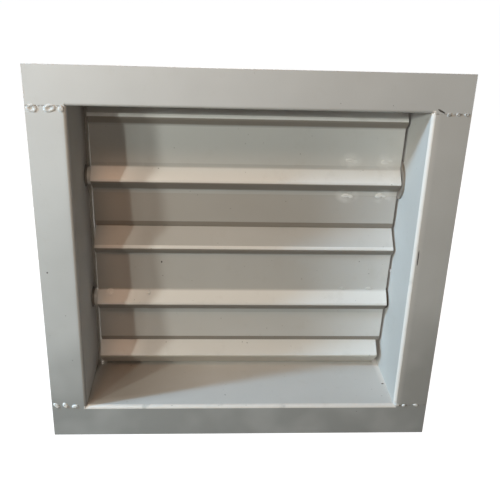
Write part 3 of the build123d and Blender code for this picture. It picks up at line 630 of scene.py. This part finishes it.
def weldBlob(mesh, place, size, crater, seed):
    around, over = blobSet["segments"]
    made = bmesh.ops.create_uvsphere(mesh, u_segments=around, v_segments=over, radius=1.0)
    for vert in made["verts"]:
        flat = Vector((vert.co.x, vert.co.y, 0))
        spot = vert.co * blobSet["lumpScale"] + Vector((seed, 2.0 * seed, 0))
        lump = 1.0 + blobSet["lump"] * noise.noise(spot)
        sunk = crater * max(0.0, 1.0 - flat.length / blobSet["craterReach"])
        height = max(vert.co.z, blobSet["foot"]) - sunk * (vert.co.z > 0)
        vert.co = Vector((flat.x * size[0] * lump, flat.y * size[1] * lump, height * size[2] * lump))
    bmesh.ops.transform(mesh, matrix=place, verts=made["verts"])


# corner welds on the seams of the front flange, each at x, z in mm with half sizes, turn and crater
mm = 0.001
tackSet = {
    "spots": (
        (-194.0, 156.8, 5.0, 3.9, 10, 1.3),
        (-178.5, 157.0, 5.8, 3.6, -8, 1.2),
        (-168.5, 156.6, 2.8, 3.2, 0, 0.1),
        (179.0, 158.5, 2.0, 1.6, 0, 0.3),
        (187.5, 158.6, 1.9, 1.4, 0, 0.9),
        (195.3, 158.4, 2.2, 1.5, 15, 0.9),
    ),
    "beads": (
        (-195.3, -157.4, 3.9, 2.3, 48, 0.4),
        (-186.2, -157.2, 3.6, 2.4, 62, 0.5),
        (-176.2, -158.4, 3.5, 2.0, -12, 0.3),
        (167.2, -158.4, 2.8, 1.6, 8, 0.3),
        (175.0, -159.0, 2.0, 1.6, -14, 0.2),
        (188.0, -158.8, 2.8, 1.5, 10, 0.4),
    ),
    "stand": 1.3,
    "sunk": 0.1,
    "firstSeed": 1,
}


def cornerWelds(name, spots, look, finish):
    facing = Matrix.Rotation(math.radians(90), 4, "X")        # local z to the front
    mesh = bmesh.new()
    for seed, (across, up, width, depth, turn, crater) in enumerate(spots, look["firstSeed"]):
        place = Matrix.Translation((across * mm, look["sunk"] * mm, up * mm)) @ facing
        place = place @ Matrix.Rotation(math.radians(-turn), 4, "Z")
        weldBlob(mesh, place, (width * mm, depth * mm, look["stand"] * mm), crater, float(seed))
    addPiece(name, mesh, "casing", "casing_paint", finish)


cornerWelds("cornerTacks", tackSet["spots"], tackSet, "casing_paint")
cornerWelds("cornerBeads", tackSet["beads"], tackSet, "weld_paint")
print("corner welds made")


# plug welds that hold the saddles, as they show on the blade fronts, each at x and rise in mm with its size
plugSet = {
    "panelFront": 5.0 * mm,        # ahead of the shaft axis
    "size": (4.4 * mm, 2.5 * mm, 1.3 * mm),
    "crater": 0.6,
    "sway": (0.5, 3.0),        # how far each is turned, and how that varies
    "firstSeed": 20,
    "bold": ((107, 22.5, 1.0), (112.5, 21.5, 0.7), (144, 21.5, 1.0), (149.5, 22.5, 0.5),
             (106, -16.5, 0.9), (111.5, -17.2, 0.7), (142, -15.8, 1.0), (147, -16.4, 0.6)),
    "faint": ((-104, 15.2, 0.5), (-142, 15.2, 0.45)),
    "lower": ((112, 15.2, 0.7), (141, 15.2, 0.8)),
    "rings": ((-143.5, 10.9, 1.0), (-103, 10.6, 0.70)),        # on the rib's upper slope
    "ringSize": (4.3 * mm, 4.3 * mm, 0.95 * mm),
    "ringCrater": 1.25,
    "rib": (1.0, 13.0, 13.5),        # rise of its ridge, half its foot and its depth, in mm
}


def plugWelds(name, row, spots, look, finish):
    joint = next(j for j in frame["joints"] if j["child"] == f"{row}_blade_set")
    axis = Vector(joint["pos_m"])
    upright = Matrix.Translation((0, axis.y, axis.z)) @ Matrix.Rotation(bladeSet["lean"], 4, "X")
    ridge, half, depth = look["rib"]
    sway, pace = look["sway"]
    mesh = bmesh.new()
    for seed, (across, rise, grow) in enumerate(spots, look["firstSeed"]):
        inside = max(0.0, half - abs(rise - ridge))        # how far up the rib's slope
        ahead = look["panelFront"] + inside * mm * depth / half
        tilt = math.copysign(math.atan2(depth, half), rise - ridge) if inside else 0.0
        facing = Matrix.Rotation(math.radians(90) - tilt, 4, "X")
        place = upright @ Matrix.Translation((across * mm, -ahead, rise * mm)) @ facing
        place = place @ Matrix.Rotation(sway * math.sin(pace * seed), 4, "Z")
        weldBlob(mesh, place, [side * grow for side in look["size"]], look["crater"], float(seed))
    addPiece(name, mesh, f"{row}_blade_set", "blade_paint", finish)


plugWelds("upperRightPlugs", "upper", plugSet["bold"], plugSet, "weld_paint")
plugWelds("upperLeftPlugs", "upper", plugSet["faint"], plugSet, "blade_paint")
plugWelds("lowerPlugs", "lower", plugSet["lower"], plugSet, "blade_paint")
ringLook = {**plugSet, "size": plugSet["ringSize"], "crater": plugSet["ringCrater"]}
plugWelds("lowerRings", "lower", plugSet["rings"], ringLook, "blade_paint")
print("plug welds made")


# chips through the paint: place, facing turn about x, half sizes in mm, tilt on the sheet
chipSet = {
    "casing": (
        ((161.0, 41.0, -159.0), 0, 1.5, 1.1, 0),
        ((168.6, 0.0, 16.0), 90, 0.6, 8.5, 0),
        ((-192.8, 0.0, -3.0), 90, 0.8, 0.8, 0),
        ((171.8, 0.0, 161.4), 90, 3.8, 0.85, -27),
    ),
    "lower_blade_set": (((-87.5, 72.0, -23.4), 93.7, 0.9, 1.2, 0),),
    "stand": 0.12,
    "firstSeed": 70,
}


def paintChips(body, look):
    mesh = bmesh.new()
    for seed, (spot, turn, width, depth, tilt) in enumerate(look[body], look["firstSeed"]):
        place = Matrix.Translation(Vector(spot) * mm) @ Matrix.Rotation(math.radians(turn), 4, "X")
        place = place @ Matrix.Rotation(math.radians(tilt), 4, "Z")
        weldBlob(mesh, place, (width * mm, depth * mm, look["stand"] * mm), 0.0, float(seed))
    slot = "casing_paint" if body == "casing" else "blade_paint"
    addPiece(f"{body}Chips", mesh, body, slot, "chip")


for body in ("casing", "lower_blade_set"):
    paintChips(body, chipSet)
print("chips made")


# pale floor, white to the camera, that keeps the object's shadow
floorSet = {
    "side": 8.0,
    "front": -8.0,
    "back": 14.0,
    "white": 0.945,
    "far": (1.5, 2.5),        # metres, where the shadow zone ends and full white starts
    "gap": 0.0002,
    "paint": tone(0.30, 0.30, 0.30),        # as the camera sees it
    "bounce": tone(0.09, 0.08, 0.07),        # as the object does
    "roughness": 0.9,
}


def layFloor(look):
    mesh = bmesh.new()
    corners = ((-1, "front"), (1, "front"), (1, "back"), (-1, "back"))
    level = cadLow.z - look["gap"]
    mesh.faces.new([mesh.verts.new((way * look["side"], look[edge], level)) for way, edge in corners])
    data = bpy.data.meshes.new("floor")
    mesh.to_mesh(data)
    mesh.free()
    floor = bpy.data.objects.new("floor", data)
    scene.collection.objects.link(floor)
    finish = Finish("floorWhite", {"Roughness": look["roughness"], "Specular IOR Level": 0.0})
    path = finish.node("ShaderNodeLightPath", {}, {}, "Is Camera Ray")
    rays = path.socket.node.outputs
    shown = path + Term(finish, rays["Is Glossy Ray"]) + Term(finish, rays["Is Transmission Ray"])
    finish.feed(color=finish.blend(shown, look["bounce"], look["paint"]))
    away = finish.across * finish.across + finish.back * finish.back
    start, full = [(edge / (2.0 * look["far"][1])) ** 2 for edge in look["far"]]
    beyond = finish.band(away * (0.5 / look["far"][1]) ** 2, start, full)
    white = beyond * (1.0 - look["white"]) + look["white"]
    glow = finish.node("ShaderNodeEmission", {}, {"Strength": shown * white})
    both = finish.node("ShaderNodeAddShader", {}, {0: glow, 1: Term(finish, finish.shader.outputs[0])})
    finish.tree.links.new(both.socket, finish.tree.nodes["Material Output"].inputs["Surface"])
    data.materials.append(finish.material)


layFloor(floorSet)


# room light: white behind, dim all round, with five soft lamps in front and three for the sides and back
worldSet = {"dim": tone(1.0, 0.86, 0.74), "strength": 0.02}


def lightWorld(look):
    world = bpy.data.worlds.new("room")
    scene.world = world
    world.use_nodes = True
    tree = world.node_tree
    tree.nodes.clear()
    path = tree.nodes.new("ShaderNodeLightPath")
    white = tree.nodes.new("ShaderNodeBackground")
    dim = tree.nodes.new("ShaderNodeBackground")
    dim.inputs["Color"].default_value = look["dim"]
    dim.inputs["Strength"].default_value = look["strength"]
    shown = path.outputs["Is Camera Ray"]
    for ray in ("Is Glossy Ray", "Is Transmission Ray"):
        either = tree.nodes.new("ShaderNodeMath")
        either.operation = "MAXIMUM"
        tree.links.new(shown, either.inputs[0])
        tree.links.new(path.outputs[ray], either.inputs[1])
        shown = either.outputs[0]
    mix = tree.nodes.new("ShaderNodeMixShader")
    out = tree.nodes.new("ShaderNodeOutputWorld")
    tree.links.new(shown, mix.inputs["Fac"])
    tree.links.new(dim.outputs[0], mix.inputs[1])
    tree.links.new(white.outputs[0], mix.inputs[2])
    white.inputs["Color"].default_value = tone(1, 1, 1)
    tree.links.new(mix.outputs[0], out.inputs["Surface"])


lampAim = (0, 0.03, 0)
lampSet = {
    "lowLamp": {"place": (-1.012, -0.80, 0.413), "size": 0.12, "power": 5.1, "color": (0.965, 1.0, 0.92)},
    "sideLamp": {"place": (-0.935, -1.27, 0.562), "size": 0.06, "power": 5.2, "color": (0.93, 1.0, 0.912)},
    "window": {"place": (-1.08, -0.256, 0.479), "size": 0.09, "power": 10.2, "color": (0.43, 0.74, 1.0)},
    "ceiling": {"place": (-0.25, -0.45, 0.62), "size": 0.20, "power": 1.45, "color": (1.0, 0.61, 0.38)},
    "roomLamp": {"place": (0.0, -0.95, 0.35), "size": 0.40, "power": 0.98, "color": (1.0, 0.84, 0.67)},
    "rightLamp": {"place": (1.30, 0.09, 0.50), "size": 0.15, "power": 8.0, "color": (1.0, 0.96, 0.92)},
    "leftLamp": {"place": (-1.30, 0.09, 0.45), "size": 0.15, "power": 4.4, "color": (1.0, 0.58, 0.28)},
    "backLamp": {"place": (0.0, 1.45, 0.85), "size": 0.30, "power": 8.0, "color": (1.0, 0.93, 0.86)},
}


def hangLamp(name, look):
    data = bpy.data.lights.new(name, "AREA")
    data.shape = "DISK"
    data.size = look["size"]
    data.energy = look["power"]
    data.color = look["color"]
    lamp = bpy.data.objects.new(name, data)
    scene.collection.objects.link(lamp)
    lamp.location = look["place"]
    lamp.rotation_mode = "QUATERNION"
    lamp.rotation_quaternion = (Vector(lampAim) - lamp.location).to_track_quat("-Z", "Y")


lightWorld(worldSet)
for name, look in lampSet.items():
    hangLamp(name, look)
print("lamps hung:", len(lampSet))
